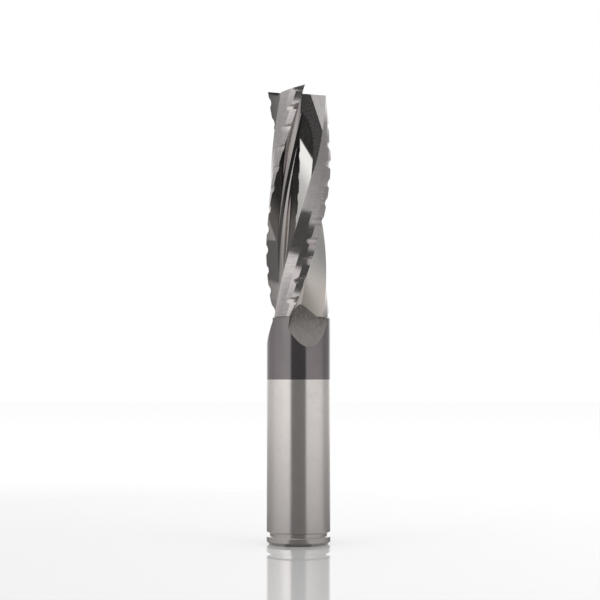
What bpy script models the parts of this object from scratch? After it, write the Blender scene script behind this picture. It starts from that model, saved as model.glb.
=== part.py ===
# Roughing end mill: three right-hand helical flutes with chip-breaker lands, ground from one
# solid carbide rod with a plain cylindrical shank. It stands on the end face of its shank.
# Metres, +Z up. The origin is the middle of the shank's end face, and the front is -Y.

import bisect
import math

import bmesh
import bpy

MM = 0.001

# Driving sizes of the whole tool
OVERALL_LENGTH = 115 * MM
SHANK_DIAMETER = 16 * MM
CUTTING_DIAMETER = 16.4 * MM
TOOTHED_LENGTH = 58 * MM
COATED_LENGTH = 73.75 * MM

# Shank end: chamfer, then a collar, then the turned groove
SHANK_CHAMFER = 0.75 * MM
COLLAR_WIDTH = 1.97 * MM
GROOVE_WIDTH = 1.14 * MM
GROOVE_DEPTH = 0.8 * MM
GROOVE_CHAMFER = 0.18 * MM

# Teeth and helix
TEETH = 3
LEAD = 146 * MM
FIRST_EDGE_ANGLE = math.radians(-77.5)

# Section of one flute, seen square to the axis
RAKE_ANGLE = math.radians(7)
CORE_DIAMETER = 7.04 * MM
FLUTE_FLOOR_RADIUS = 1.75 * MM
FLUTE_BACK_RADIUS = 18.5 * MM
FLUTE_BACK_ANGLE = math.radians(2.5)
FLUTE_CLEARANCE = 1.2 * MM

# Section of one land: three flat clearances, each with the angle of its normal behind the
# edge, and the angle behind the edge at which it starts
LAND_NORMALS = (math.radians(19), math.radians(35), math.radians(43))
LAND_BREAKS = (0.0, math.radians(13), math.radians(26))
LEAST_FACET = math.radians(1)

# Chip-breaker grooves across each land, staggered from tooth to tooth
BREAKER_PITCH = 5 * MM
BREAKER_DEPTH = 0.43 * MM
BREAKER_RELIEF = math.radians(6)
FIRST_BREAKER_FROM_TIP = 4.65 * MM
CREST_SHARE = 1 / 2
FLANK_SHARE = 1 / 6

# Runout below the teeth: each flute ends on a face that is ground straight across it. The
# face is tilted to the axis, its normal is turned from the edge, and it is slightly hollow
# along the tool. The side under the rake face flares back behind the edge, most at the edge
# and not at all past the flare's place on the flute's curve.
RUNOUT_LENGTH = 7.7 * MM
RUNOUT_TILT = math.radians(18.9)
RUNOUT_WHEEL_RADIUS = 72 * MM
RUNOUT_TURN = math.radians(29.7)
RUNOUT_NOSE_LENGTH = 0.1 * MM
RUNOUT_NOSE_SHARE = 0.95
RUNOUT_FLARE = math.radians(8.5)
RUNOUT_FLARE_START = 4.5 * MM
RUNOUT_FLARE_LENGTH = 7.5 * MM
RUNOUT_FLARE_PLACE = 1.5
CREASE_PLACE = 0.45
CREASE_REACH = 5 * MM
CREASE_FADE = 15 * MM
LAND_STEP_LENGTH = 0.6 * MM

# Cutting end: clearance behind each end edge, and the dish from the corners to the middle
END_RELIEF = math.radians(12.5)
END_DISH = math.radians(5)

# Gashes ahead of each end edge: the web left at the tip, the slope of the back wall to the
# axis, the turn of its normal from the edge, and how far ahead of the edge the gash starts.
# The long one thins the core, and the heel one clears the heel of the next tooth.
LONG_GASH = (2.3 * MM, math.radians(10.8), math.radians(-4), 0.0)
HEEL_GASH = (2.6 * MM, math.radians(12.9), math.radians(4), 1.4 * MM)
END_RAKE = math.radians(3)

# Fineness of the faceted surface
RINGS_PER_PITCH = 6
RUNOUT_RINGS = 10
NECK_RINGS = 5
LAND_STEPS = (3, 2, 3)
RAKE_STEPS = 2
FLOOR_STEPS = 6
BACK_STEPS = 4

SHANK_RADIUS = SHANK_DIAMETER / 2
CUTTING_RADIUS = CUTTING_DIAMETER / 2
CORE_RADIUS = CORE_DIAMETER / 2
TEETH_START = OVERALL_LENGTH - TOOTHED_LENGTH
COATING_START = OVERALL_LENGTH - COATED_LENGTH
RUNOUT_END = TEETH_START - RUNOUT_LENGTH
TOOTH_TURN = 2 * math.pi / TEETH
SEARCH_STEPS = 40


def polar(radius, angle):
    return radius * math.cos(angle), radius * math.sin(angle)


# The flute's curve in the frame of its cutting edge, which lies on +X at the cutting radius.
# It runs down the straight rake face, round the floor's hollow arc, which touches the core,
# and up the back's bulging arc until it is clear of the rod.
def flute_arcs():
    slope = (-math.cos(RAKE_ANGLE), -math.sin(RAKE_ANGLE))
    inward = (-math.sin(RAKE_ANGLE), math.cos(RAKE_ANGLE))
    start = (CUTTING_RADIUS + FLUTE_FLOOR_RADIUS * inward[0], FLUTE_FLOOR_RADIUS * inward[1])
    along = start[0] * slope[0] + start[1] * slope[1]
    reach = (CORE_RADIUS + FLUTE_FLOOR_RADIUS) ** 2 - start[0] ** 2 - start[1] ** 2 + along ** 2
    rake_length = -along - math.sqrt(reach) if reach > 0 else -along
    floor_centre = (start[0] + rake_length * slope[0], start[1] + rake_length * slope[1])
    turn = polar(FLUTE_BACK_RADIUS + FLUTE_FLOOR_RADIUS, FLUTE_BACK_ANGLE)
    back_centre = (floor_centre[0] - turn[0], floor_centre[1] - turn[1])
    return slope, rake_length, floor_centre, back_centre


RAKE_SLOPE, RAKE_LENGTH, FLOOR_CENTRE, BACK_CENTRE = flute_arcs()


def arc_point(centre, radius, normal):
    return centre[0] - radius * math.cos(normal), centre[1] - radius * math.sin(normal)


def back_end_normal():
    normal = FLUTE_BACK_ANGLE
    step = math.radians(0.5)
    while math.hypot(*arc_point(BACK_CENTRE, -FLUTE_BACK_RADIUS, normal)) < (
            CUTTING_RADIUS + FLUTE_CLEARANCE):
        normal += step
    return normal


FLOOR_START = math.pi / 2 + RAKE_ANGLE
BACK_END = back_end_normal()


# Place on the flute's curve: 0 to 1 is the rake face, 1 to 2 the floor and 2 to 3 the back.
def flute_point(place):
    if place <= 1:
        reach = place * RAKE_LENGTH
        return CUTTING_RADIUS + reach * RAKE_SLOPE[0], reach * RAKE_SLOPE[1]
    if place <= 2:
        normal = FLOOR_START + (place - 1) * (FLUTE_BACK_ANGLE - FLOOR_START)
        return arc_point(FLOOR_CENTRE, FLUTE_FLOOR_RADIUS, normal)
    normal = FLUTE_BACK_ANGLE + (place - 2) * (BACK_END - FLUTE_BACK_ANGLE)
    return arc_point(BACK_CENTRE, -FLUTE_BACK_RADIUS, normal)


def flute_polar(place):
    x, y = flute_point(place)
    return math.hypot(x, y), math.atan2(y, x)


def search(low, high, is_past):
    for _ in range(SEARCH_STEPS):
        middle = (low + high) / 2
        if is_past(middle):
            high = middle
        else:
            low = middle
    return (low + high) / 2


def deepest_place():
    places = [1 + step / 100 for step in range(201)]
    return min(places, key=lambda place: flute_polar(place)[0])


FLUTE_BOTTOM = deepest_place()


# Distances of the land's three clearance planes from the axis
def land_planes():
    planes = []
    radius = CUTTING_RADIUS
    for number, normal in enumerate(LAND_NORMALS):
        start = LAND_BREAKS[number]
        if planes:
            last_normal, last_distance = planes[-1]
            radius = last_distance / math.cos(start - last_normal)
        planes.append((normal, radius * math.cos(start - normal)))
    return planes


LAND_PLANES = land_planes()


def crest_radius(behind):
    return min(distance / math.cos(behind - normal) for normal, distance in LAND_PLANES)


def breaker_radius(behind, depth):
    return CUTTING_RADIUS - depth - CUTTING_RADIUS * behind * math.tan(BREAKER_RELIEF)


# Groove depth on one tooth at one height: flat crests, straight flanks and flat floors
def breaker_depth(tooth, z):
    start = OVERALL_LENGTH - FIRST_BREAKER_FROM_TIP + tooth * BREAKER_PITCH / TEETH
    share = ((z - start) / BREAKER_PITCH) % 1.0
    knots = (0, CREST_SHARE, CREST_SHARE + FLANK_SHARE, 1 - FLANK_SHARE, 1)
    values = (0, 0, 1, 1, 0)
    number = min(bisect.bisect_right(knots, share), len(knots) - 1)
    span = knots[number] - knots[number - 1]
    blend = (share - knots[number - 1]) / span
    return BREAKER_DEPTH * (values[number - 1] + blend * (values[number] - values[number - 1]))


# Angle behind the edge at which a groove of this depth runs out of the relieved land
def breaker_end(depth):
    if depth < BREAKER_DEPTH / 100:
        return LAND_BREAKS[1]
    end = search(LAND_BREAKS[1] / 2, TOOTH_TURN / 2,
                 lambda behind: breaker_radius(behind, depth) > crest_radius(behind))
    return max(end, LAND_BREAKS[1])


def land_radius(behind, depth):
    if depth < BREAKER_DEPTH / 100:
        return crest_radius(behind)
    return min(crest_radius(behind), breaker_radius(behind, depth))


def edge_angle(tooth, z):
    turned = 2 * math.pi * (max(z, TEETH_START) - OVERALL_LENGTH) / LEAD
    return FIRST_EDGE_ANGLE + tooth * TOOTH_TURN + turned


def spread(start, end, steps):
    return [start + (end - start) * step / steps for step in range(steps)]


def even_places(first, last):
    whole = RAKE_STEPS + FLOOR_STEPS + BACK_STEPS
    return spread(first, last, whole) + [last]


def heel_place():
    return search(FLUTE_BOTTOM, 3, lambda place: flute_polar(place)[0] > crest_radius(
        TOOTH_TURN - flute_polar(place)[1]))


HEEL_PLACE = heel_place()
HEEL_ANGLE = TOOTH_TURN - flute_polar(HEEL_PLACE)[1]


# Radius of the runout's face at an angle from the edge of its flute and at a height
def face_radius(angle, z):
    if z > TEETH_START + CREASE_REACH:
        return 0.0
    turned = edge_angle(0, z) - edge_angle(0, TEETH_START)
    rise = z - RUNOUT_END
    drop = rise * math.tan(RUNOUT_TILT) + rise ** 2 / (2 * RUNOUT_WHEEL_RADIUS)
    return (SHANK_RADIUS - drop) / math.cos(angle + turned - RUNOUT_TURN)


# How far above the teeth's start the flute meets the runout's face
def crease_rise(place):
    ease = min(1.0, max(0.0, (place - CREASE_PLACE) / (1 - CREASE_PLACE)))
    radius, angle = flute_polar(max(1.0, place))
    height = search(0, CREASE_REACH, lambda rise: face_radius(angle, TEETH_START + rise) < radius)
    return height * ease


# Lift of a ring at one place in the flute, so that the rings run along the crease near it
def crease_shift(place, z):
    share = 1 - abs(z - TEETH_START) / (CREASE_FADE if z > TEETH_START else RUNOUT_LENGTH)
    return crease_rise(place) * share if share > 0 else 0.0


def flare_angle(z):
    share = (TEETH_START + RUNOUT_FLARE_START - z) / RUNOUT_FLARE_LENGTH
    return RUNOUT_FLARE * min(1.0, max(0.0, share))


# Place on the flute's curve as it is cut at this height, with the flare and the runout's face
def cut_polar(place, z):
    radius, angle = flute_polar(place)
    angle -= flare_angle(z) * max(0.0, 1 - place / RUNOUT_FLARE_PLACE)
    return max(radius, face_radius(angle, z)), angle


def flute_column(tooth, place, z, lift):
    height = z + lift
    radius, angle = cut_polar(place, height)
    return min(radius, CUTTING_RADIUS), angle + edge_angle(tooth, height), height


# One tooth in the toothed length: the land from heel to edge, then the flute ahead of it
def toothed_columns(tooth, z):
    depth = breaker_depth(tooth, z)
    first_break = breaker_end(depth)
    second_break = max(LAND_BREAKS[2], first_break + LEAST_FACET)
    stops = (HEEL_ANGLE, second_break, first_break, flare_angle(z))
    turn = edge_angle(tooth, z)
    columns = []
    for number, steps in enumerate(LAND_STEPS):
        for behind in spread(stops[number], stops[number + 1], steps):
            columns.append((land_radius(behind, depth), turn - behind, z))
    edge_radius = CUTTING_RADIUS - depth
    edge_place = search(0, 1, lambda place: flute_polar(place)[0] < edge_radius)
    places = spread(edge_place, 1, RAKE_STEPS) + spread(1, 2, FLOOR_STEPS)
    places += spread(2, HEEL_PLACE, BACK_STEPS)
    for place in places:
        lift = crease_shift(place, z) if place > edge_place else 0.0
        columns.append(flute_column(tooth, place, z, lift))
    return columns


# First and last place of the flute's mouth in the rod, below the teeth
def mouth_places(z):
    middle = search(1, 3, lambda place: flute_polar(place)[1] > RUNOUT_TURN)
    first = search(0, middle, lambda place: cut_polar(place, z)[0] < SHANK_RADIUS)
    last = search(middle, 3, lambda place: cut_polar(place, z)[0] > SHANK_RADIUS)
    return first, last


# One tooth pitch below the teeth: plain rod, then what is left of the flute
def runout_columns(tooth, z):
    first, last = mouth_places(z)
    turn = edge_angle(tooth, z)
    start = cut_polar(last, z)[1] - TOOTH_TURN
    end = cut_polar(first, z)[1]
    columns = [(SHANK_RADIUS, angle + turn, z) for angle in spread(start, end, sum(LAND_STEPS))]
    for place in even_places(first, last)[:-1]:
        lift = crease_shift(place, z) if place > first else 0.0
        radius, angle, height = flute_column(tooth, place, z, lift)
        columns.append((min(radius, SHANK_RADIUS), angle, height))
    return columns


# The rounded nose of the runout, where the flute's last outline lies on the rod
def nose_columns(tooth, z):
    first, last = mouth_places(z)
    left = cut_polar(first, z)[1]
    right = cut_polar(last, z)[1]
    middle = (left + right) / 2
    half = (right - left) / 2 * RUNOUT_NOSE_SHARE
    shoulder = z - RUNOUT_NOSE_LENGTH / 4
    turn = edge_angle(tooth, z)
    columns = []
    for angle in spread(middle + half - TOOTH_TURN, middle - half, sum(LAND_STEPS)):
        columns.append((SHANK_RADIUS, angle + turn, shoulder))
    for share in even_places(-1, 1)[:-1]:
        drop = (shoulder - RUNOUT_END) * math.sqrt(1 - share * share)
        columns.append((SHANK_RADIUS, middle + share * half + turn, shoulder - drop))
    return columns


def plain_ring(z, radius, turn_share=1.0, source=None):
    count = TEETH * (sum(LAND_STEPS) + RAKE_STEPS + FLOOR_STEPS + BACK_STEPS)
    start = source[0][1] if source else 0.0
    ring = []
    for number in range(count):
        even = start + 2 * math.pi * number / count
        angle = source[number][1] * (1 - turn_share) + even * turn_share if source else even
        ring.append((radius, angle, z))
    return ring


def ring_of(columns_of, z):
    ring = []
    for tooth in range(TEETH):
        ring += columns_of(tooth, z)
    return ring


def tooth_heights():
    step = BREAKER_PITCH / RINGS_PER_PITCH
    z = OVERALL_LENGTH - FIRST_BREAKER_FROM_TIP
    z -= step * math.floor((z - TEETH_START) / step)
    heights = [TEETH_START]
    while z < OVERALL_LENGTH - step / 3:
        if z > TEETH_START + step / 3:
            heights.append(z)
        z += step
    return heights + [OVERALL_LENGTH]


# All rings from the shank's end face up to the tip, as radius, angle and height
def tool_rings():
    nose_top = RUNOUT_END + RUNOUT_NOSE_LENGTH
    first_runout = TEETH_START - LAND_STEP_LENGTH
    runout = [ring_of(nose_columns, nose_top)]
    for step in range(RUNOUT_RINGS + 1):
        z = nose_top + (first_runout - nose_top) * (step / RUNOUT_RINGS) ** 2
        runout.append(ring_of(runout_columns, z))
    nose = runout[0]
    neck = []
    for step in range(NECK_RINGS):
        share = (NECK_RINGS - step) / NECK_RINGS
        z = COATING_START + (RUNOUT_END - COATING_START) * (1 - share)
        neck.append(plain_ring(z, SHANK_RADIUS, share, nose))
    groove_radius = SHANK_RADIUS - GROOVE_DEPTH
    groove_top = COLLAR_WIDTH + GROOVE_WIDTH
    profile = (
        (0.0, SHANK_RADIUS - SHANK_CHAMFER),
        (SHANK_CHAMFER, SHANK_RADIUS),
        (COLLAR_WIDTH, SHANK_RADIUS),
        (COLLAR_WIDTH, groove_radius),
        (groove_top, groove_radius),
        (groove_top, SHANK_RADIUS - GROOVE_CHAMFER),
        (groove_top + GROOVE_CHAMFER, SHANK_RADIUS),
    )
    shank = [plain_ring(z, radius, 1.0, nose) for z, radius in profile]
    teeth = [ring_of(toothed_columns, z) for z in tooth_heights()]
    return shank + neck + runout + teeth


def carbide(name, colour, roughness):
    material = bpy.data.materials.new(name)
    material.use_nodes = True
    shader = material.node_tree.nodes["Principled BSDF"]
    shader.inputs["Base Color"].default_value = colour
    shader.inputs["Metallic"].default_value = 1.0
    shader.inputs["Roughness"].default_value = roughness
    return material


def add_object(name, mesh):
    thing = bpy.data.objects.new(name, mesh)
    bpy.context.scene.collection.objects.link(thing)
    return thing


# The ground body: one closed skin through all the rings, with flat ends
def make_body():
    shape = bmesh.new()
    rings = []
    for ring in tool_rings():
        row = []
        for radius, angle, z in ring:
            x, y = polar(radius, angle)
            row.append(shape.verts.new((x, y, z)))
        rings.append(row)
    count = len(rings[0])
    for low, high in zip(rings, rings[1:]):
        for number in range(count):
            after = (number + 1) % count
            face = shape.faces.new((low[number], low[after], high[after], high[number]))
            middle = face.calc_center_median()
            face.material_index = 1 if middle.z > COATING_START else 0
    shape.faces.new(reversed(rings[0]))
    shape.faces.new(rings[-1]).material_index = 1
    bmesh.ops.triangulate(shape, faces=shape.faces[:], quad_method="SHORT_EDGE")
    mesh = bpy.data.meshes.new("end_mill")
    shape.to_mesh(mesh)
    shape.free()
    body = add_object("end_mill", mesh)
    mesh.materials.append(carbide("ground_carbide", (0.42, 0.41, 0.42, 1), 0.32))
    mesh.materials.append(carbide("coated_carbide", (0.24, 0.23, 0.24, 1), 0.22))
    return body


def add_cutter(name, corners, faces):
    mesh = bpy.data.meshes.new(name)
    mesh.from_pydata(corners, [], faces)
    shape = bmesh.new()
    shape.from_mesh(mesh)
    bmesh.ops.recalc_face_normals(shape, faces=shape.faces[:])
    shape.to_mesh(mesh)
    shape.free()
    cutter = add_object(name, mesh)
    cutter.hide_render = True
    cutter.display_type = "WIRE"
    return cutter


def subtract(body, cutter):
    cut = body.modifiers.new(cutter.name, "BOOLEAN")
    cut.operation = "DIFFERENCE"
    cut.solver = "EXACT"
    cut.object = cutter


def prism(bottom, top):
    count = len(bottom)
    faces = [tuple(range(count)), tuple(range(count, 2 * count))]
    for number in range(count):
        after = (number + 1) % count
        faces.append((number, after, count + after, count + number))
    return bottom + top, faces


# Crown that grinds the end clearance: behind each end edge a plane slopes down and in
# towards the middle, and a step leads up to the next edge
def end_relief_cutter():
    reach = 2 * CUTTING_RADIUS
    steps = 4
    top_z = OVERALL_LENGTH + CUTTING_RADIUS
    corners = [
        (0.0, 0.0, OVERALL_LENGTH - CUTTING_RADIUS * math.tan(END_DISH)),
        (0.0, 0.0, top_z),
    ]
    for tooth in reversed(range(TEETH)):
        for step in range(steps + 1):
            behind = TOOTH_TURN * step / steps
            x, y = polar(reach, edge_angle(tooth, OVERALL_LENGTH) - behind)
            drop = reach * math.sin(behind) * math.tan(END_RELIEF)
            drop += (CUTTING_RADIUS - reach * math.cos(behind)) * math.tan(END_DISH)
            corners.append((x, y, OVERALL_LENGTH - drop))
    count = len(corners) - 2
    for tooth in reversed(range(TEETH)):
        for step in range(steps):
            behind = TOOTH_TURN * step / steps
            x, y = polar(reach, edge_angle(tooth, OVERALL_LENGTH) - behind)
            corners.append((x, y, top_z))
    faces = []
    for tooth in range(TEETH):
        for step in range(steps):
            low = 2 + tooth * (steps + 1) + step
            high = 2 + count + tooth * steps + step
            after = 2 + count + (tooth * steps + step + 1) % (TEETH * steps)
            faces.append((0, low, low + 1))
            faces.append((1, high, after))
            faces.append((low, low + 1, after, high))
        last = 2 + tooth * (steps + 1) + steps
        first = 2 + (tooth + 1) % TEETH * (steps + 1)
        faces.append((0, last, first))
        faces.append((last, first, 2 + count + (tooth + 1) % TEETH * steps))
    return add_cutter("end_relief", corners, faces)


# Gash ahead of one end edge: the side wall is the end edge's rake face, and the back wall
# leaves a web at the tip and slopes out of the flute further down
def gash_cutter(name, tooth, web, slope, turn, start):
    outward = edge_angle(tooth, OVERALL_LENGTH) + turn
    far = 2.5 * CUTTING_RADIUS
    side = 1.2 * CUTTING_RADIUS
    top_z = OVERALL_LENGTH + CUTTING_RADIUS
    bottom_z = OVERALL_LENGTH - (2 * CUTTING_RADIUS - web) / math.tan(slope)
    rows = []
    for z in (bottom_z, top_z):
        near = web + (OVERALL_LENGTH - z) * math.tan(slope)
        lean = start - (OVERALL_LENGTH - z) * math.tan(END_RAKE)
        corners = (
            (near, lean - near * math.tan(turn)),
            (near, side),
            (far, side),
            (far, lean - far * math.tan(turn)),
        )
        row = []
        for out, across in corners:
            x = out * math.cos(outward) - across * math.sin(outward)
            y = out * math.sin(outward) + across * math.cos(outward)
            row.append((x, y, z))
        rows.append(row)
    return add_cutter("%s_%d" % (name, tooth), *prism(*rows))


def main():
    for thing in list(bpy.data.objects):
        bpy.data.objects.remove(thing, do_unlink=True)
    body = make_body()
    subtract(body, end_relief_cutter())
    for tooth in range(TEETH):
        subtract(body, gash_cutter("long_gash", tooth, *LONG_GASH))
        subtract(body, gash_cutter("heel_gash", tooth, *HEEL_GASH))
    body.data.shade_smooth()
    body.data.set_sharp_from_angle(angle=math.radians(25))


main()
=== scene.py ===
# Roughing end mill in its finished look: ground, polished and coated carbide on a pale table.
# Metres, +Z up, the tool's axis on Z and its shank's end face at the origin. Front is -Y.

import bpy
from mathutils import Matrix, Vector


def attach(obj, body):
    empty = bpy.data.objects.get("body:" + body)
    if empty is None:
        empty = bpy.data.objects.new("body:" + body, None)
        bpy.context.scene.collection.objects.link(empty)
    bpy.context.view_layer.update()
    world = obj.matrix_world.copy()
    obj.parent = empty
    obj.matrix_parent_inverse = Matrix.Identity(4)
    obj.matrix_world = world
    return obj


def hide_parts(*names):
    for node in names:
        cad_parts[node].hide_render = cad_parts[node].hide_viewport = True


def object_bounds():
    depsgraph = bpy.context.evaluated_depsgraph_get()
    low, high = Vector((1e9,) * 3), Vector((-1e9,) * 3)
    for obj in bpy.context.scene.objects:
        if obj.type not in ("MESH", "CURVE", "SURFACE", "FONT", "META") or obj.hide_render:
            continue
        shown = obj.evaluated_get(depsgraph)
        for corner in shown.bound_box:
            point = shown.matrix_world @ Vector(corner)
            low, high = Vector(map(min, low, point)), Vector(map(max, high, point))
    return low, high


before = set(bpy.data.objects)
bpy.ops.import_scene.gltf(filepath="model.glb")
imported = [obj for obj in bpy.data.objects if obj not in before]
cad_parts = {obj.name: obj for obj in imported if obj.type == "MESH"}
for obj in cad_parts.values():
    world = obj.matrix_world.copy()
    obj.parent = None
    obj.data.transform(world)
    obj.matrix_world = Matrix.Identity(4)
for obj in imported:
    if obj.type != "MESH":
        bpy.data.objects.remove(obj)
cad_box = [list(corner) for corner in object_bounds()]

import bisect
import math

import bpy
from mathutils import Matrix, Vector

MM = 0.001
MICRON = 0.001 * MM

# Sizes of the whole tool. The overall length comes from the frame.
OVERALL_LENGTH = cad_box[1][2] - cad_box[0][2]
SHANK_RADIUS = 8 * MM
CUTTING_RADIUS = 8.2 * MM
TOOTHED_LENGTH = 58 * MM
COATING_START = 41.25 * MM
TEETH_START = OVERALL_LENGTH - TOOTHED_LENGTH

# Shank end
SHANK_CHAMFER = 0.75 * MM
COLLAR_WIDTH = 1.97 * MM
GROOVE_WIDTH = 1.14 * MM
GROOVE_DEPTH = 0.8 * MM
GROOVE_CHAMFER = 0.18 * MM
EDGE_BREAK = 0.06 * MM

# Teeth and helix
TEETH = 3
LEAD = 146 * MM
FIRST_EDGE_ANGLE = math.radians(-77.5)
TOOTH_TURN = 2 * math.pi / TEETH

# Section of one flute
RAKE_ANGLE = math.radians(7)
CORE_RADIUS = 3.52 * MM
FLUTE_FLOOR_RADIUS = 1.75 * MM
FLUTE_BACK_RADIUS = 18.5 * MM
FLUTE_BACK_ANGLE = math.radians(2.5)
FLUTE_CLEARANCE = 1.2 * MM

# Section of one land
LAND_NORMALS = (math.radians(19), math.radians(35), math.radians(43))
LAND_BREAKS = (0.0, math.radians(13), math.radians(26))
LEAST_FACET = math.radians(1)

# Chip-breaker grooves
BREAKER_PITCH = 5 * MM
BREAKER_DEPTH = 0.43 * MM
BREAKER_RELIEF = math.radians(6)
FIRST_BREAKER_FROM_TIP = 4.65 * MM
CREST_SHARE = 1 / 2
FLANK_SHARE = 1 / 6
LEAST_GROOVE = BREAKER_DEPTH / 100

# Runout of the flutes: a face ground straight across, tilted to the axis and slightly hollow
RUNOUT_LENGTH = 7.7 * MM
RUNOUT_TILT = math.radians(18.9)
RUNOUT_WHEEL_RADIUS = 72 * MM
RUNOUT_TURN = math.radians(29.7)
RUNOUT_NOSE_LENGTH = 0.1 * MM
RUNOUT_NOSE_SHARE = 0.95
RUNOUT_FLARE = math.radians(8.5)
RUNOUT_FLARE_START = 4.5 * MM
RUNOUT_FLARE_LENGTH = 7.5 * MM
RUNOUT_FLARE_PLACE = 1.5
CREASE_PLACE = 0.45
CREASE_REACH = 5 * MM
CREASE_FADE = 15 * MM
LAND_STEP_LENGTH = 0.35 * MM
RUNOUT_END = TEETH_START - RUNOUT_LENGTH

# Cutting end
END_RELIEF = math.radians(12.5)
END_DISH = math.radians(5)
END_RAKE = math.radians(3)
LONG_GASH = (2.3 * MM, math.radians(10.8), math.radians(-4), 0.0)
HEEL_GASH = (2.6 * MM, math.radians(12.9), math.radians(4), 1.4 * MM)

# Fineness of the skin
RINGS_PER_PITCH = 18
RUNOUT_RINGS = 44
NECK_RINGS = 10
LAND_STEPS = (8, 6, 8)
RAKE_STEPS = 6
FLOOR_STEPS = 24
BACK_STEPS = 14
CREASE_STEPS = 60
RELIEF_STEPS = 4
SEARCH_STEPS = 40
SEARCH_ANGLE = math.radians(0.5)
DEPTH_STEPS = 100
MERGE_DISTANCE = 0.1 * MICRON
SMOOTH_ANGLE = math.radians(5.5)

# Columns of one tooth, counted from its heel: first the land, then the flute ahead of it. The
# grooves have a finish of their own in the land's last strip, beside the cutting edge.
GROOVE_COLUMN = sum(LAND_STEPS[:2])
LAND_COLUMNS = sum(LAND_STEPS)
FLUTE_COLUMNS = RAKE_STEPS + FLOOR_STEPS + BACK_STEPS
TOOTH_COLUMNS = LAND_COLUMNS + FLUTE_COLUMNS
FINISH_COLUMNS = (LAND_COLUMNS, LAND_COLUMNS + RAKE_STEPS, TOOTH_COLUMNS - BACK_STEPS)

# Finishes, in the order of the body's material slots
GROUND, NECK, LAND, RAKE, FLUTE_FLOOR, FLUTE, RUNOUT, GASH, BREAKER = range(9)

# Heights between which the flutes, the rake faces and the runouts change their look
SATIN_BELOW = 61 * MM
POLISHED_ABOVE = 73 * MM
RAKE_BRIGHT_BELOW = 93 * MM
RAKE_DARK_ABOVE = 99 * MM
RUNOUT_LIGHT_BELOW = 51 * MM
RUNOUT_DARK_ABOVE = 60 * MM

# A grain lies mostly between these two values.
GRAIN_LOW = 0.3
GRAIN_HIGH = 0.7

# Faces of the plain rod that look outwards this squarely are shaded as a true cylinder, where
# their corners lie within the tolerance of its radius.
ROUND_FACING = 0.99
ROUND_TOLERANCE = EDGE_BREAK / 10

# Stage: a pale glossy table in white surroundings, and two soft lamps. A dark card between the
# tool and the camera can be seen in the tool's polish only. Its outline and heights are in mm.
TABLE_SIZE = 4
CARD_DISTANCE = 100 * MM
CARD_HEIGHT = 400
CARD_OUTLINE = (
    (-51, 0), (49, 0), (49, 60), (42, 85), (42, 125), (54, 150), (54, CARD_HEIGHT),
    (-62, CARD_HEIGHT), (-62, 110), (-51, 60),
)
CARD_LEVELS = ((0, 0.13), (60, 0.16), (70, 0.04), (100, 0.028))

# Levels of the room round the tool, by the angle in degrees from the front towards the right:
# one set at the height of the eye and one above it. ROOM_RISE is where one turns to the other.
LOW_ROOM = (
    (-180, 1.14), (-168, 1.06), (-150, 0.75), (-138, 0.6), (-109, 0.70), (-92, 0.90),
    (-72, 1.0), (-39, 1.05), (35, 1.0), (68, 1.0), (88, 0.95), (108, 0.54), (138, 0.52),
    (152, 0.95), (168, 1.2), (180, 1.14),
)
HIGH_ROOM = (
    (-180, 1.14), (-168, 1.06), (-150, 0.75), (-138, 0.5), (-109, 0.50), (-92, 0.54),
    (-72, 0.62), (-50, 1.05), (-30, 1.05), (30, 0.55), (56, 0.44), (88, 0.33), (108, 0.32),
    (138, 0.38), (152, 0.9), (168, 1.2), (180, 1.14),
)
ROOM_RISE = (-0.02, 0.10)

# Painted light: levels at which the table glows in the tool's polish, by distance from the tool
# in metres, darker towards the tool's foot as painted shade, and the share kept at a steep view
TABLE_LEVELS = ((0.0, 0.30), (0.11, 0.46), (0.62, 0.72), (1.0, 0.92))
TABLE_STEEP = 0.6

# Painted reflection of the dark card on the table in front of the tool, seen only in the tool's
# polish: its sides in degrees from the front, and its levels by distance from the tool in metres
# and at a glancing view
CARD_REFLECTION_SIDES = ((-180, 0.0), (-29, 0.0), (-26.5, 1.0), (25.5, 1.0), (27.5, 0.0), (180, 0.0))
CARD_REFLECTION_LEVELS = ((0.0, 0.07), (0.04, 0.11), (0.13, 0.13), (0.155, 0.04), (1.0, 0.04))
CARD_REFLECTION_GLANCE = 0.12

# Distances from the tool in metres, and turns away from the camera, between which the table
# goes from matte to glossy
SHINE_REACH = (0.40, 0.16)
SHINE_FACING = (0.79, 0.845)

# Two lamps in metres, one on each side and aimed at the tool, and the camera
LAMP_OUT = 0.55
LAMP_FORWARD = 0.35
LAMP_UP = 0.35
LAMP_AIM_UP = 0.06
LAMP_SIZE = (0.5, 0.7)
LAMP_POWER = 1.5
CAMERA_PLACE = (0.38 * MM, -382.7 * MM, 42.26 * MM)
CAMERA_TILT = math.radians(2.86)
CAMERA_LENS = 90.7
SENSOR_WIDTH = 36


def polar(radius, angle):
    return radius * math.cos(angle), radius * math.sin(angle)


# The flute's curve, seen from its cutting edge on +X: flat rake face, hollow floor, bulging back
def flute_arcs():
    slope = (-math.cos(RAKE_ANGLE), -math.sin(RAKE_ANGLE))
    inward = (-math.sin(RAKE_ANGLE), math.cos(RAKE_ANGLE))
    start = (CUTTING_RADIUS + FLUTE_FLOOR_RADIUS * inward[0], FLUTE_FLOOR_RADIUS * inward[1])
    along = start[0] * slope[0] + start[1] * slope[1]
    reach = (CORE_RADIUS + FLUTE_FLOOR_RADIUS) ** 2 - start[0] ** 2 - start[1] ** 2 + along ** 2
    rake_length = -along - math.sqrt(reach) if reach > 0 else -along
    floor_centre = (start[0] + rake_length * slope[0], start[1] + rake_length * slope[1])
    turn = polar(FLUTE_BACK_RADIUS + FLUTE_FLOOR_RADIUS, FLUTE_BACK_ANGLE)
    back_centre = (floor_centre[0] - turn[0], floor_centre[1] - turn[1])
    return slope, rake_length, floor_centre, back_centre


RAKE_SLOPE, RAKE_LENGTH, FLOOR_CENTRE, BACK_CENTRE = flute_arcs()


def arc_point(centre, radius, normal):
    return centre[0] - radius * math.cos(normal), centre[1] - radius * math.sin(normal)


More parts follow.
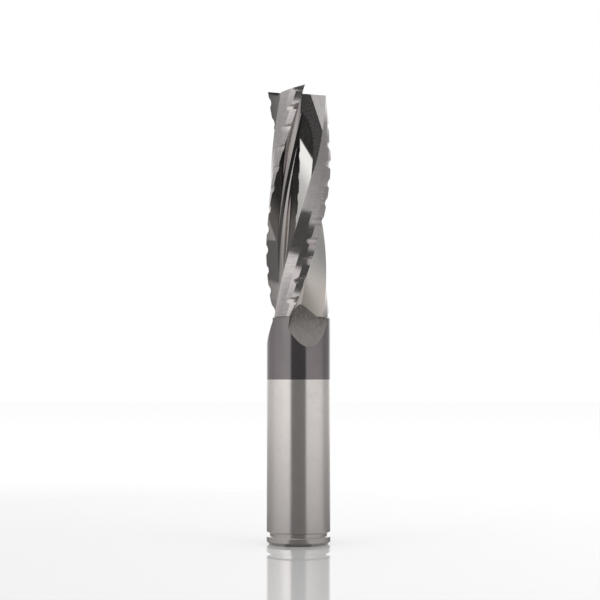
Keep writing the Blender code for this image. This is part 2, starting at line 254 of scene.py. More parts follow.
def back_end_normal():
    normal = FLUTE_BACK_ANGLE
    while math.hypot(*arc_point(BACK_CENTRE, -FLUTE_BACK_RADIUS, normal)) < (
            CUTTING_RADIUS + FLUTE_CLEARANCE):
        normal += SEARCH_ANGLE
    return normal


FLOOR_START = math.pi / 2 + RAKE_ANGLE
BACK_END = back_end_normal()


# Place on the flute's curve: 0 to 1 is the rake face, 1 to 2 the floor and 2 to 3 the back
def flute_point(place):
    if place <= 1:
        reach = place * RAKE_LENGTH
        return CUTTING_RADIUS + reach * RAKE_SLOPE[0], reach * RAKE_SLOPE[1]
    if place <= 2:
        normal = FLOOR_START + (place - 1) * (FLUTE_BACK_ANGLE - FLOOR_START)
        return arc_point(FLOOR_CENTRE, FLUTE_FLOOR_RADIUS, normal)
    normal = FLUTE_BACK_ANGLE + (place - 2) * (BACK_END - FLUTE_BACK_ANGLE)
    return arc_point(BACK_CENTRE, -FLUTE_BACK_RADIUS, normal)


def flute_polar(place):
    x, y = flute_point(place)
    return math.hypot(x, y), math.atan2(y, x)


def search(low, high, is_past):
    for _ in range(SEARCH_STEPS):
        middle = (low + high) / 2
        if is_past(middle):
            high = middle
        else:
            low = middle
    return (low + high) / 2


def deepest_place():
    places = [1 + step / DEPTH_STEPS for step in range(2 * DEPTH_STEPS + 1)]
    return min(places, key=lambda place: flute_polar(place)[0])


FLUTE_BOTTOM = deepest_place()


# Angle and distance from the axis of the land's three clearance planes
def land_planes():
    planes = []
    radius = CUTTING_RADIUS
    for normal, start in zip(LAND_NORMALS, LAND_BREAKS):
        if planes:
            last_normal, last_distance = planes[-1]
            radius = last_distance / math.cos(start - last_normal)
        planes.append((normal, radius * math.cos(start - normal)))
    return planes


LAND_PLANES = land_planes()


def crest_radius(behind):
    return min(distance / math.cos(behind - normal) for normal, distance in LAND_PLANES)


def breaker_radius(behind, depth):
    return CUTTING_RADIUS - depth - CUTTING_RADIUS * behind * math.tan(BREAKER_RELIEF)


# Groove depth on one tooth at one height: flat crests, straight flanks and flat floors
def breaker_depth(tooth, z):
    start = OVERALL_LENGTH - FIRST_BREAKER_FROM_TIP + tooth * BREAKER_PITCH / TEETH
    share = ((z - start) / BREAKER_PITCH) % 1.0
    knots = (0, CREST_SHARE, CREST_SHARE + FLANK_SHARE, 1 - FLANK_SHARE, 1)
    values = (0, 0, 1, 1, 0)
    number = min(bisect.bisect_right(knots, share), len(knots) - 1)
    along = (share - knots[number - 1]) / (knots[number] - knots[number - 1])
    return BREAKER_DEPTH * (values[number - 1] + along * (values[number] - values[number - 1]))


# Angle behind the edge at which a groove of this depth runs out of the relieved land
def breaker_end(depth):
    if depth < LEAST_GROOVE:
        return LAND_BREAKS[1]
    end = search(LAND_BREAKS[1] / 2, TOOTH_TURN / 2,
                 lambda behind: breaker_radius(behind, depth) > crest_radius(behind))
    return max(end, LAND_BREAKS[1])


def land_radius(behind, depth):
    if depth < LEAST_GROOVE:
        return crest_radius(behind)
    return min(crest_radius(behind), breaker_radius(behind, depth))


def edge_angle(tooth, z):
    turned = 2 * math.pi * (max(z, TEETH_START) - OVERALL_LENGTH) / LEAD
    return FIRST_EDGE_ANGLE + tooth * TOOTH_TURN + turned


def spread(start, end, steps):
    return [start + (end - start) * step / steps for step in range(steps)]


HEEL_PLACE = search(FLUTE_BOTTOM, 3, lambda place: flute_polar(place)[0] > crest_radius(
    TOOTH_TURN - flute_polar(place)[1]))
HEEL_ANGLE = TOOTH_TURN - flute_polar(HEEL_PLACE)[1]


# Radius of the runout's face at an angle from the edge of its flute and at a height
def face_radius(angle, z):
    if z > TEETH_START + CREASE_REACH:
        return 0.0
    turned = edge_angle(0, z) - edge_angle(0, TEETH_START)
    rise = z - RUNOUT_END
    drop = rise * math.tan(RUNOUT_TILT) + rise ** 2 / (2 * RUNOUT_WHEEL_RADIUS)
    return (SHANK_RADIUS - drop) / math.cos(angle + turned - RUNOUT_TURN)


# How far above the teeth's start the flute meets the flat face
def crease_rise(place):
    ease = min(1.0, max(0.0, (place - CREASE_PLACE) / (1 - CREASE_PLACE)))
    radius, angle = flute_polar(max(1.0, place))
    height = search(0, CREASE_REACH, lambda rise: face_radius(angle, TEETH_START + rise) < radius)
    return height * ease


CREASE_RISES = [crease_rise(HEEL_PLACE * step / CREASE_STEPS) for step in range(CREASE_STEPS + 1)]


# How far the flute's points at one height are lifted, so that the ring at the teeth's start lies
# on the crease
def crease_shift(place, z):
    share = 1 - abs(z - TEETH_START) / (CREASE_FADE if z > TEETH_START else RUNOUT_LENGTH)
    step = min(1.0, place / HEEL_PLACE) * CREASE_STEPS
    number = min(int(step), CREASE_STEPS - 1)
    low, high = CREASE_RISES[number:number + 2]
    return (low + (high - low) * (step - number)) * max(0.0, share)


# Turn by which the rake side of the flute opens towards the runout
def flare_angle(z):
    share = (TEETH_START + RUNOUT_FLARE_START - z) / RUNOUT_FLARE_LENGTH
    return RUNOUT_FLARE * min(1.0, max(0.0, share))


def cut_polar(place, z):
    radius, angle = flute_polar(place)
    angle -= flare_angle(z) * max(0.0, 1 - place / RUNOUT_FLARE_PLACE)
    return max(radius, face_radius(angle, z)), angle


# One tooth in the toothed length, from heel to edge and on through the flute ahead of it
def toothed_columns(tooth, z):
    depth = breaker_depth(tooth, z)
    first_break = breaker_end(depth)
    second_break = max(LAND_BREAKS[2], first_break + LEAST_FACET)
    stops = (HEEL_ANGLE, second_break, first_break, flare_angle(z))
    columns = []
    turn = edge_angle(tooth, z)
    for number, steps in enumerate(LAND_STEPS):
        for behind in spread(stops[number], stops[number + 1], steps):
            columns.append((land_radius(behind, depth), turn - behind, z))
    edge_radius = CUTTING_RADIUS - depth
    edge_place = search(0, 1, lambda place: flute_polar(place)[0] < edge_radius)
    places = spread(edge_place, 1, RAKE_STEPS) + spread(1, 2, FLOOR_STEPS)
    places += spread(2, HEEL_PLACE, BACK_STEPS)
    for place in places:
        height = z + (crease_shift(place, z) if place > edge_place else 0.0)
        radius, angle = cut_polar(place, height)
        columns.append((radius, edge_angle(tooth, height) + angle, height))
    return columns


# Places on the flute's curve where it comes out of the plain rod, on either side
def mouth_places(z):
    middle = search(1, 3, lambda place: flute_polar(place)[1] > RUNOUT_TURN)
    first = search(0, middle, lambda place: cut_polar(place, z)[0] < SHANK_RADIUS)
    last = search(middle, 3, lambda place: cut_polar(place, z)[0] > SHANK_RADIUS)
    return first, last


# One tooth pitch below the teeth: plain rod, then what is left of the flute
def runout_columns(tooth, z):
    first, last = mouth_places(z)
    turn = edge_angle(tooth, z)
    start = cut_polar(last, z)[1] - TOOTH_TURN
    end = cut_polar(first, z)[1]
    columns = [(SHANK_RADIUS, turn + angle, z) for angle in spread(start, end, LAND_COLUMNS)]
    for place in spread(first, last, FLUTE_COLUMNS):
        height = z + (crease_shift(place, z) if place > first else 0.0)
        radius, angle = cut_polar(place, height)
        columns.append((min(radius, SHANK_RADIUS), edge_angle(tooth, height) + angle, height))
    return columns


# The rounded nose of the runout, where the flute's last outline lies on the rod
def nose_columns(tooth, z):
    first, last = mouth_places(z)
    left = cut_polar(first, z)[1]
    right = cut_polar(last, z)[1]
    middle = (left + right) / 2
    half = (right - left) / 2 * RUNOUT_NOSE_SHARE
    shoulder = z - RUNOUT_NOSE_LENGTH / 4
    turn = edge_angle(tooth, z)
    columns = []
    for angle in spread(middle + half - TOOTH_TURN, middle - half, LAND_COLUMNS):
        columns.append((SHANK_RADIUS, angle + turn, shoulder))
    for share in spread(-1, 1, FLUTE_COLUMNS):
        drop = (shoulder - RUNOUT_END) * math.sqrt(1 - share * share)
        columns.append((SHANK_RADIUS, middle + share * half + turn, shoulder - drop))
    return columns


# A plain round ring. Its columns lie as in the source ring or, by a share of up to 1, evenly.
def plain_ring(z, radius, even_share, source):
    ring = []
    for number, (_, angle, _) in enumerate(source):
        even = source[0][1] + 2 * math.pi * number / len(source)
        ring.append((radius, angle * (1 - even_share) + even * even_share, z))
    return ring


def ring_of(columns_of, z):
    return [column for tooth in range(TEETH) for column in columns_of(tooth, z)]


def tooth_heights():
    step = BREAKER_PITCH / RINGS_PER_PITCH
    z = OVERALL_LENGTH - FIRST_BREAKER_FROM_TIP
    z -= step * math.floor((z - TEETH_START) / step)
    heights = [TEETH_START]
    while z < OVERALL_LENGTH - step / 3:
        if z > TEETH_START + step / 3:
            heights.append(z)
        z += step
    return heights + [OVERALL_LENGTH]


# The turned end of the shank, with a small break on each of its edges
def shank_profile():
    floor = SHANK_RADIUS - GROOVE_DEPTH
    top = COLLAR_WIDTH + GROOVE_WIDTH
    face = SHANK_RADIUS - SHANK_CHAMFER
    return (
        (0.0, face - EDGE_BREAK),
        (EDGE_BREAK / 2, face),
        (SHANK_CHAMFER - EDGE_BREAK, SHANK_RADIUS - EDGE_BREAK / 2),
        (SHANK_CHAMFER, SHANK_RADIUS),
        (COLLAR_WIDTH - EDGE_BREAK, SHANK_RADIUS),
        (COLLAR_WIDTH, SHANK_RADIUS - EDGE_BREAK),
        (COLLAR_WIDTH, floor + EDGE_BREAK),
        (COLLAR_WIDTH + EDGE_BREAK, floor),
        (top - EDGE_BREAK, floor),
        (top, floor + EDGE_BREAK),
        (top, SHANK_RADIUS - GROOVE_CHAMFER),
        (top + GROOVE_CHAMFER, SHANK_RADIUS),
    )


# All rings from the shank's end face up to the tip
def tool_rings():
    nose_top = RUNOUT_END + RUNOUT_NOSE_LENGTH
    first_runout = TEETH_START - LAND_STEP_LENGTH
    nose = ring_of(nose_columns, nose_top)
    runout = [nose]
    for step in range(RUNOUT_RINGS + 1):
        z = nose_top + (first_runout - nose_top) * (step / RUNOUT_RINGS) ** 2
        runout.append(ring_of(runout_columns, z))
    neck = []
    for step in range(NECK_RINGS):
        share = (NECK_RINGS - step) / NECK_RINGS
        z = COATING_START + (RUNOUT_END - COATING_START) * (1 - share)
        neck.append(plain_ring(z, SHANK_RADIUS, share, nose))
    shank = [plain_ring(z, radius, 1.0, nose) for z, radius in shank_profile()]
    teeth = [ring_of(toothed_columns, z) for z in tooth_heights()]
    return shank + neck, runout, teeth


def deselect():
    if bpy.context.mode != "OBJECT":
        bpy.ops.object.mode_set(mode="OBJECT")
    bpy.ops.object.select_all(action="DESELECT")


def select_only(thing):
    deselect()
    thing.select_set(True)
    bpy.context.view_layer.objects.active = thing


# Finish of one face, by its row and column on the tool and its height
def face_finish(row, column, z, plain_rows, runout_rows):
    tooth, place = divmod(column, TOOTH_COLUMNS)
    if row >= plain_rows + runout_rows:
        in_groove = GROOVE_COLUMN <= place < LAND_COLUMNS
        if in_groove and breaker_depth(tooth, z) > BREAKER_DEPTH / 2:
            return BREAKER
        return LAND + bisect.bisect_right(FINISH_COLUMNS, place)
    if row > plain_rows and place >= LAND_COLUMNS:
        return RUNOUT
    return NECK if row >= plain_rows - NECK_RINGS else GROUND


# A grid wrapped round the axis: its rows are the rings and its columns run up the tool
def make_body(materials):
    plain, runout, teeth = tool_rings()
    rings = plain + runout + teeth
    count = TEETH * TOOTH_COLUMNS
    deselect()
    bpy.ops.mesh.primitive_grid_add(x_subdivisions=count, y_subdivisions=len(rings) - 1, size=1)
    body = bpy.context.object
    body.name = "end_mill_body"
    for material in materials:
        body.data.materials.append(material)
    vertices = body.data.vertices
    for row, ring in enumerate(rings):
        for column in range(count + 1):
            radius, angle, z = ring[column % count]
            vertices[row * (count + 1) + column].co = (*polar(radius, angle), z)
    for face in body.data.polygons:
        row, column = divmod(face.index, count)
        face.material_index = face_finish(row, column, face.center.z, len(plain), len(runout))
    select_only(body)
    bpy.ops.object.mode_set(mode="EDIT")
    bpy.ops.mesh.select_all(action="SELECT")
    bpy.ops.mesh.remove_doubles(threshold=MERGE_DISTANCE)
    bpy.ops.mesh.fill_holes(sides=0)
    bpy.ops.mesh.select_all(action="SELECT")
    bpy.ops.mesh.quads_convert_to_tris(quad_method="SHORTEST_DIAGONAL", ngon_method="BEAUTY")
    bpy.ops.mesh.normals_make_consistent(inside=False)
    bpy.ops.object.mode_set(mode="OBJECT")
    return body


# Shades the shank and the neck as a true cylinder, whatever the spacing of their columns
def round_shading(body):
    mesh = body.data
    normals = []
    for face in mesh.polygons:
        plain = face.material_index in (GROUND, NECK)
        for corner in face.loop_indices:
            x, y, _ = mesh.vertices[mesh.loops[corner].vertex_index].co
            radius = math.hypot(x, y)
            facing = (x * face.normal.x + y * face.normal.y) / radius if radius > MM else 0.0
            on_rod = abs(radius - SHANK_RADIUS) < ROUND_TOLERANCE
            if plain and on_rod and facing > ROUND_FACING:
                normals.append((x / radius, y / radius, 0.0))
            else:
                normals.append((0.0, 0.0, 0.0))
    mesh.normals_split_custom_set(normals)


# One grinding cut as a closed solid, whose faces leave the gash finish behind
def make_cutter(name, corners, faces, materials):
    mesh = bpy.data.meshes.new(name)
    mesh.from_pydata(corners, [], faces)
    for material in materials:
        mesh.materials.append(material)
    for face in mesh.polygons:
        face.material_index = GASH
    cutter = bpy.data.objects.new(name, mesh)
    bpy.context.scene.collection.objects.link(cutter)
    select_only(cutter)
    bpy.ops.object.mode_set(mode="EDIT")
    bpy.ops.mesh.select_all(action="SELECT")
    bpy.ops.mesh.normals_make_consistent(inside=False)
    bpy.ops.object.mode_set(mode="OBJECT")
    return cutter


def cut_away(body, cutter):
    cut = body.modifiers.new(cutter.name, "BOOLEAN")
    cut.operation = "DIFFERENCE"
    cut.solver = "EXACT"
    cut.object = cutter
    select_only(body)
    bpy.ops.object.modifier_apply(modifier=cut.name)
    bpy.data.objects.remove(cutter, do_unlink=True)


# Crown that grinds the end clearance behind each end edge
def end_relief_shape():
    reach = 2 * CUTTING_RADIUS
    steps = RELIEF_STEPS
    top_z = OVERALL_LENGTH + CUTTING_RADIUS
    corners = [
        (0.0, 0.0, OVERALL_LENGTH - CUTTING_RADIUS * math.tan(END_DISH)),
        (0.0, 0.0, top_z),
    ]
    for tooth in reversed(range(TEETH)):
        for step in range(steps + 1):
            behind = TOOTH_TURN * step / steps
            x, y = polar(reach, edge_angle(tooth, OVERALL_LENGTH) - behind)
            drop = reach * math.sin(behind) * math.tan(END_RELIEF)
            drop += (CUTTING_RADIUS - reach * math.cos(behind)) * math.tan(END_DISH)
            corners.append((x, y, OVERALL_LENGTH - drop))
    count = len(corners) - 2
    for tooth in reversed(range(TEETH)):
        for step in range(steps):
            behind = TOOTH_TURN * step / steps
            x, y = polar(reach, edge_angle(tooth, OVERALL_LENGTH) - behind)
            corners.append((x, y, top_z))
    faces = []
    for tooth in range(TEETH):
        for step in range(steps):
            low = 2 + tooth * (steps + 1) + step
            high = 2 + count + tooth * steps + step
            after = 2 + count + (tooth * steps + step + 1) % (TEETH * steps)
            faces.append((0, low, low + 1))
            faces.append((1, high, after))
            faces.append((low, low + 1, after, high))
        last = 2 + tooth * (steps + 1) + steps
        first = 2 + (tooth + 1) % TEETH * (steps + 1)
        faces.append((0, last, first))
        faces.append((last, first, 2 + count + (tooth + 1) % TEETH * steps))
    return corners, faces


# Wedge of a gash wheel, which leaves the web standing round the axis and slopes down outwards
def gash_shape(tooth, web, slope, turn, start):
    outward = edge_angle(tooth, OVERALL_LENGTH) + turn
    far = 2.5 * CUTTING_RADIUS
    side = 1.2 * CUTTING_RADIUS
    bottom_z = OVERALL_LENGTH - (2 * CUTTING_RADIUS - web) / math.tan(slope)
    corners = []
    for z in (bottom_z, OVERALL_LENGTH + CUTTING_RADIUS):
        near = web + (OVERALL_LENGTH - z) * math.tan(slope)
        lean = start - (OVERALL_LENGTH - z) * math.tan(END_RAKE)
        outline = (
            (near, lean - near * math.tan(turn)),
            (near, side),
            (far, side),
            (far, lean - far * math.tan(turn)),
        )
        for out, across in outline:
            x = out * math.cos(outward) - across * math.sin(outward)
            y = out * math.sin(outward) + across * math.cos(outward)
            corners.append((x, y, z))
    faces = [(0, 1, 2, 3), (4, 5, 6, 7)]
    faces += [(n, (n + 1) % 4, (n + 1) % 4 + 4, n + 4) for n in range(4)]
    return corners, faces


# The cuts are made at a thousand times the size, where the solver keeps every edge
def grind_end(body, materials):
    body.data.transform(Matrix.Scale(1 / MM, 4))
    shapes = [("end_relief", end_relief_shape())]
    for tooth in range(TEETH):
        shapes.append(("long_gash", gash_shape(tooth, *LONG_GASH)))
        shapes.append(("heel_gash", gash_shape(tooth, *HEEL_GASH)))
    for name, (corners, faces) in shapes:
        cutter = make_cutter(name, corners, faces, materials)
        cutter.data.transform(Matrix.Scale(1 / MM, 4))
        cut_away(body, cutter)
    body.data.transform(Matrix.Scale(MM, 4))


# Materials. Every pattern reads the tool's own Object coordinates, in metres.
def new_material(name, colour, roughness, metallic=1.0):
    material = bpy.data.materials.new(name)
    material.use_nodes = True
    shader = material.node_tree.nodes["Principled BSDF"]
    shader.inputs["Base Color"].default_value = (*colour, 1)
    shader.inputs["Metallic"].default_value = metallic
    shader.inputs["Roughness"].default_value = roughness
    return material


# Gives an input either another node's output or a plain value
def feed(tree, socket, value):
    if isinstance(value, bpy.types.NodeSocket):
        tree.links.new(value, socket)
    else:
        socket.default_value = value


def maths(tree, operation, first, second, clamp=False):
    node = tree.nodes.new("ShaderNodeMath")
    node.operation = operation
    node.use_clamp = clamp
    feed(tree, node.inputs[0], first)
    feed(tree, node.inputs[1], second)
    return node.outputs["Value"]


def mapped(tree, value, low, high, to_low=0.0, to_high=1.0, kind="LINEAR"):
    node = tree.nodes.new("ShaderNodeMapRange")
    node.interpolation_type = kind
    node.inputs["From Min"].default_value = low
    node.inputs["From Max"].default_value = high
    node.inputs["To Min"].default_value = to_low
    node.inputs["To Max"].default_value = to_high
    tree.links.new(value, node.inputs["Value"])
    return node.outputs["Result"]


def blend(tree, share, first, second, kind="MIX"):
    mix = tree.nodes.new("ShaderNodeMixRGB")
    mix.blend_type = kind
    feed(tree, mix.inputs["Fac"], share)
    feed(tree, mix.inputs["Color1"], first)
    feed(tree, mix.inputs["Color2"], second)
    return mix.outputs["Color"]


def colour_ramp(tree, value, stops):
    ramp = tree.nodes.new("ShaderNodeValToRGB")
    elements = ramp.color_ramp.elements
    elements.remove(elements[1])
    for number, (place, colour) in enumerate(stops):
        element = elements.new(place) if number else elements[0]
        element.position = place
        element.color = (*colour, 1)
    tree.links.new(value, ramp.inputs["Fac"])
    return ramp.outputs["Color"]


def object_place(tree):
    return tree.nodes.new("ShaderNodeTexCoord").outputs["Object"]


def axes(tree, vector):
    parts = tree.nodes.new("ShaderNodeSeparateXYZ")
    tree.links.new(vector, parts.inputs[0])
    return parts.outputs["X"], parts.outputs["Y"], parts.outputs["Z"]


# Noise in object space, with its own number of grains per metre along each axis
def grain(tree, across, along, detail=2.0):
    stretch = tree.nodes.new("ShaderNodeMapping")
    stretch.inputs["Scale"].default_value = (across, across, along)
    noise = tree.nodes.new("ShaderNodeTexNoise")
    noise.inputs["Scale"].default_value = 1.0
    noise.inputs["Detail"].default_value = detail
    tree.links.new(object_place(tree), stretch.inputs["Vector"])
    tree.links.new(stretch.outputs["Vector"], noise.inputs["Vector"])
    return noise.outputs["Fac"]


def from_grain(tree, value, low, high):
    return mapped(tree, value, GRAIN_LOW, GRAIN_HIGH, low, high)


# Colours spread evenly over a grain
def tint(tree, value, *colours):
    step = (GRAIN_HIGH - GRAIN_LOW) / (len(colours) - 1)
    stops = [(GRAIN_LOW + number * step, colour) for number, colour in enumerate(colours)]
    shader = tree.nodes["Principled BSDF"]
    tree.links.new(colour_ramp(tree, value, stops), shader.inputs["Base Color"])


def vary_roughness(tree, value, low, high):
    shader = tree.nodes["Principled BSDF"]
    tree.links.new(from_grain(tree, value, low, high), shader.inputs["Roughness"])


# Raised and sunk by a grain, with the height of the marks in metres
def engrave(tree, value, height):
    bump = tree.nodes.new("ShaderNodeBump")
    bump.inputs["Strength"].default_value = 1.0
    bump.inputs["Distance"].default_value = height
    tree.links.new(value, bump.inputs["Height"])
    last = tree.nodes["Principled BSDF"].inputs["Normal"]
    if last.links:
        tree.links.new(last.links[0].from_socket, bump.inputs["Normal"])
    tree.links.new(bump.outputs["Normal"], last)


# Eases from 0 to 1 between two heights on the tool
def by_height(tree, low_z, high_z):
    return mapped(tree, axes(tree, object_place(tree))[2], low_z, high_z, kind="SMOOTHSTEP")


def ground_shank():
    material = new_material("ground_shank", (0.80, 0.752, 0.725), 0.2, 0.96)
    tree = material.node_tree
    tint(tree, grain(tree, 1800, 5000), (0.745, 0.70, 0.672), (0.825, 0.775, 0.75))
    vary_roughness(tree, grain(tree, 300, 300), 0.18, 0.22)
    engrave(tree, grain(tree, 900, 16000), 0.5 * MICRON)
    return material


def coated_neck():
    material = new_material("coated_neck", (0.225, 0.205, 0.21), 0.16, 0.97)
    tree = material.node_tree
    tint(tree, grain(tree, 160, 60), (0.205, 0.195, 0.195), (0.23, 0.205, 0.21),
         (0.25, 0.21, 0.225))
    vary_roughness(tree, grain(tree, 300, 900), 0.14, 0.18)
    engrave(tree, grain(tree, 600, 12000), 0.4 * MICRON)
    return material


# Two sizes of mark lie over each other, the finer and shallower ones first.
def coated_land():
    material = new_material("coated_land", (0.52, 0.49, 0.485), 0.16, 0.94)
    tree = material.node_tree
    tint(tree, grain(tree, 400, 3500), (0.48, 0.455, 0.45), (0.57, 0.53, 0.52))
    vary_roughness(tree, grain(tree, 500, 4000), 0.13, 0.20)
    engrave(tree, grain(tree, 400, 9000), 0.5 * MICRON)
    engrave(tree, grain(tree, 300, 2600, 0.0), 1.2 * MICRON)
    return material


# The chip-breaker grooves are brighter than the crests between them, with coarser marks.
def breaker_groove():
    material = new_material("breaker_groove", (0.64, 0.59, 0.57), 0.2, 0.94)
    tree = material.node_tree
    tint(tree, grain(tree, 300, 3500), (0.56, 0.52, 0.50), (0.70, 0.645, 0.625))
    vary_roughness(tree, grain(tree, 500, 4000), 0.16, 0.24)
    engrave(tree, grain(tree, 350, 5200), 1.0 * MICRON)
    return material


# The flutes are polished from the tip down, and left satin near the runout.
def flute_finish(name, upper, lower, polish, satin, satin_metal):
    material = new_material(name, upper, polish)
    tree = material.node_tree
    shader = tree.nodes["Principled BSDF"]
    worn = from_grain(tree, grain(tree, 700, 160), -0.05, 0.05)
    height = by_height(tree, SATIN_BELOW, POLISHED_ABOVE)
    polished = maths(tree, "ADD", height, worn, clamp=True)
    colour = blend(tree, polished, (*lower, 1), (*upper, 1))
    tree.links.new(colour, shader.inputs["Base Color"])
    tree.links.new(mapped(tree, polished, 0, 1, satin, polish), shader.inputs["Roughness"])
    tree.links.new(mapped(tree, polished, 0, 1, satin_metal, 1), shader.inputs["Metallic"])
    engrave(tree, grain(tree, 2500, 250), 0.15 * MICRON)
    return material


# The rake faces are darker near the tip.
def polished_rake():
    material = flute_finish("polished_rake", (0.74, 0.70, 0.68), (0.70, 0.66, 0.64), 0.07, 0.14,
                            0.97)
    tree = material.node_tree
    colour = tree.nodes["Principled BSDF"].inputs["Base Color"]
    near_tip = by_height(tree, RAKE_BRIGHT_BELOW, RAKE_DARK_ABOVE)
    dark = (0.30, 0.285, 0.28, 1)
    tree.links.new(blend(tree, near_tip, colour.links[0].from_socket, dark), colour)
    return material


# The floor is painted darker than the rest of the flute, as painted shade in its hollow; its
# polish and satin are real.
def flute_floor():
    return flute_finish("flute_floor", (0.42, 0.39, 0.38), (0.54, 0.49, 0.46), 0.12, 0.40, 0.7)


def polished_flute():
    return flute_finish("polished_flute", (0.80, 0.78, 0.75), (0.66, 0.60, 0.55), 0.07, 0.40, 0.7)


# The runout faces darken upwards, with long streaks that the wheel has left.
def runout_face():
    material = new_material("runout_face", (0.30, 0.285, 0.275), 0.32, 0.9)
    tree = material.node_tree
    streak = from_grain(tree, grain(tree, 2200, 260), -0.25, 0.25)
    height = by_height(tree, RUNOUT_LIGHT_BELOW, RUNOUT_DARK_ABOVE)
    darkened = maths(tree, "ADD", height, streak, clamp=True)
    colour = blend(tree, darkened, (0.40, 0.37, 0.35, 1), (0.19, 0.177, 0.168, 1))
    tree.links.new(colour, tree.nodes["Principled BSDF"].inputs["Base Color"])
    vary_roughness(tree, grain(tree, 1800, 200), 0.28, 0.38)
    engrave(tree, grain(tree, 5000, 300), 2 * MICRON)
    return material


def gash_face():
    material = new_material("gash_face", (0.80, 0.77, 0.75), 0.08, 0.97)
    tree = material.node_tree
    tint(tree, grain(tree, 1500, 400), (0.74, 0.71, 0.70), (0.86, 0.83, 0.81))
    vary_roughness(tree, grain(tree, 1500, 300), 0.07, 0.11)
    engrave(tree, grain(tree, 3000, 400), 0.3 * MICRON)
    return material


# The finishes in the order of the body's material slots
def carbide_materials():
    return [
        ground_shank(),
        coated_neck(),
        coated_land(),
        polished_rake(),
        flute_floor(),
        polished_flute(),
        runout_face(),
        gash_face(),
        breaker_groove(),
    ]


def grey(level):
    return level, level, level


def level_ramp(tree, value, levels):
    return colour_ramp(tree, value, [(place, grey(level)) for place, level in levels])


# Light of the room in one direction or, on the table, round the tool at one place
def room_light(tree, direction, levels):
    x, y, _ = axes(tree, direction)
    azimuth = maths(tree, "ARCTAN2", x, maths(tree, "MULTIPLY", y, -1.0))
    stops = [((degrees + 180) / 360, level) for degrees, level in levels]
    return level_ramp(tree, mapped(tree, azimuth, -math.pi, math.pi), stops)


# White to the camera and to matte surfaces, and the room's own levels in the tool's polish
def make_world():
    world = bpy.data.worlds.new("studio_white")
    bpy.context.scene.world = world
    world.use_nodes = True
    tree = world.node_tree
    direction = tree.nodes.new("ShaderNodeTexCoord").outputs["Generated"]
    low = room_light(tree, direction, LOW_ROOM)
    high = room_light(tree, direction, HIGH_ROOM)
    room = blend(tree, mapped(tree, axes(tree, direction)[2], *ROOM_RISE), low, high)
    in_polish = tree.nodes.new("ShaderNodeLightPath").outputs["Is Glossy Ray"]
    back = tree.nodes["Background"]
    tree.links.new(blend(tree, in_polish, (*grey(1.0), 1), room), back.inputs["Color"])
    back.inputs["Strength"].default_value = 1.0


# Painted light: the table glows as the tool's polish sees it, darker towards the foot as painted
# shade and at a steep view, with the painted reflection of the dark card in front of the tool
def table_in_polish(tree, place, reach, facing):
    room = room_light(tree, place, LOW_ROOM)
    shade = level_ramp(tree, reach, TABLE_LEVELS)
    steep = blend(tree, mapped(tree, facing, 0.5, 0.88), (*grey(TABLE_STEEP), 1), (*grey(1.0), 1))
    pale = blend(tree, 1.0, blend(tree, 1.0, room, shade, "MULTIPLY"), steep, "MULTIPLY")
    # Painted reflection of the dark card, laid on the table in front of the tool
    card_reflection_level = level_ramp(tree, reach, CARD_REFLECTION_LEVELS)
    dark = blend(tree, mapped(tree, facing, 0.7, 0.95), card_reflection_level, (*grey(CARD_REFLECTION_GLANCE), 1))
    glow = tree.nodes.new("ShaderNodeEmission")
    in_card_reflection = room_light(tree, place, CARD_REFLECTION_SIDES)
    tree.links.new(blend(tree, in_card_reflection, pale, dark), glow.inputs["Color"])
    return glow.outputs["Emission"]


def mixed_shaders(tree, share, first, second):
    mix = tree.nodes.new("ShaderNodeMixShader")
    tree.links.new(share, mix.inputs[0])
    tree.links.new(first, mix.inputs[1])
    tree.links.new(second, mix.inputs[2])
    return mix.outputs["Shader"]


# The table to the camera: glossy near the tool at a low view, and matte white elsewhere
def table_to_camera(tree, reach, facing):
    matte = tree.nodes.new("ShaderNodeBsdfDiffuse")
    matte.inputs["Color"].default_value = (0.97, 0.97, 0.97, 1)
    glossy = tree.nodes["Principled BSDF"].outputs["BSDF"]
    near = mapped(tree, reach, *SHINE_REACH)
    shine = maths(tree, "MULTIPLY", near, mapped(tree, facing, *SHINE_FACING))
    return mixed_shaders(tree, shine, matte.outputs["BSDF"], glossy)


def make_floor():
    deselect()
    bpy.ops.mesh.primitive_plane_add(size=TABLE_SIZE, location=(0, 0, 0))
    floor = bpy.context.object
    floor.name = "pale_table"
    material = new_material("pale_table", (0.60, 0.60, 0.60), 0.03, 0.0)
    tree = material.node_tree
    place = object_place(tree)
    length = tree.nodes.new("ShaderNodeVectorMath")
    length.operation = "LENGTH"
    tree.links.new(place, length.inputs[0])
    reach = length.outputs["Value"]
    facing = tree.nodes.new("ShaderNodeLayerWeight").outputs["Facing"]
    in_polish = tree.nodes.new("ShaderNodeLightPath").outputs["Is Glossy Ray"]
    look = mixed_shaders(tree, in_polish, table_to_camera(tree, reach, facing),
                         table_in_polish(tree, place, reach, facing))
    tree.links.new(look, tree.nodes["Material Output"].inputs["Surface"])
    floor.data.materials.append(material)


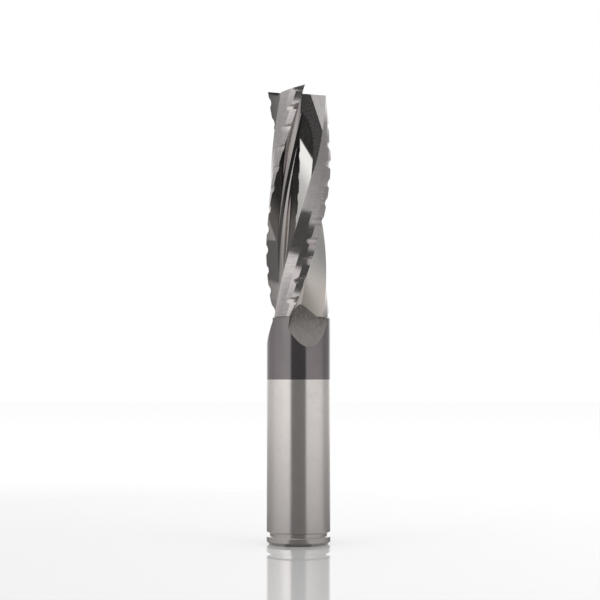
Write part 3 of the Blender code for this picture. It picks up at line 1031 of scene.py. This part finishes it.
def make_card():
    material = bpy.data.materials.new("dark_card")
    material.use_nodes = True
    tree = material.node_tree
    glow = tree.nodes.new("ShaderNodeEmission")
    height = mapped(tree, axes(tree, object_place(tree))[2], 0.0, CARD_HEIGHT * MM)
    stops = [(z / CARD_HEIGHT, level) for z, level in CARD_LEVELS]
    tree.links.new(level_ramp(tree, height, stops), glow.inputs["Color"])
    tree.links.new(glow.outputs["Emission"], tree.nodes["Material Output"].inputs["Surface"])
    mesh = bpy.data.meshes.new("dark_card")
    corners = [(x * MM, -CARD_DISTANCE, z * MM) for x, z in CARD_OUTLINE]
    mesh.from_pydata(corners, [], [tuple(range(len(corners)))])
    mesh.materials.append(material)
    card = bpy.data.objects.new("dark_card", mesh)
    bpy.context.scene.collection.objects.link(card)
    card.visible_camera = False
    card.visible_diffuse = False
    card.visible_shadow = False


def add_lamp(name, side):
    data = bpy.data.lights.new(name, "AREA")
    data.shape = "RECTANGLE"
    data.size, data.size_y = LAMP_SIZE
    data.energy = LAMP_POWER
    lamp = bpy.data.objects.new(name, data)
    bpy.context.scene.collection.objects.link(lamp)
    place = Vector((side * LAMP_OUT, -LAMP_FORWARD, LAMP_UP))
    lamp.location = place
    aim = Vector((0, 0, LAMP_AIM_UP)) - place
    lamp.rotation_euler = aim.to_track_quat("-Z", "Y").to_euler()
    lamp.visible_glossy = False


def make_camera():
    data = bpy.data.cameras.new("camera")
    data.sensor_width = SENSOR_WIDTH
    data.lens = CAMERA_LENS
    camera = bpy.data.objects.new("camera", data)
    bpy.context.scene.collection.objects.link(camera)
    camera.location = CAMERA_PLACE
    camera.rotation_euler = (math.pi / 2 + CAMERA_TILT, 0, 0)
    bpy.context.scene.camera = camera


materials = carbide_materials()
tool = make_body(materials)
grind_end(tool, materials)
select_only(tool)
bpy.ops.object.shade_smooth_by_angle(angle=SMOOTH_ANGLE)
round_shading(tool)
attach(tool, "root")
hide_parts("end_mill")

make_world()
make_floor()
make_card()
add_lamp("left_softbox", -1)
add_lamp("right_softbox", 1)
make_camera()
bpy.context.scene.view_settings.view_transform = "Standard"
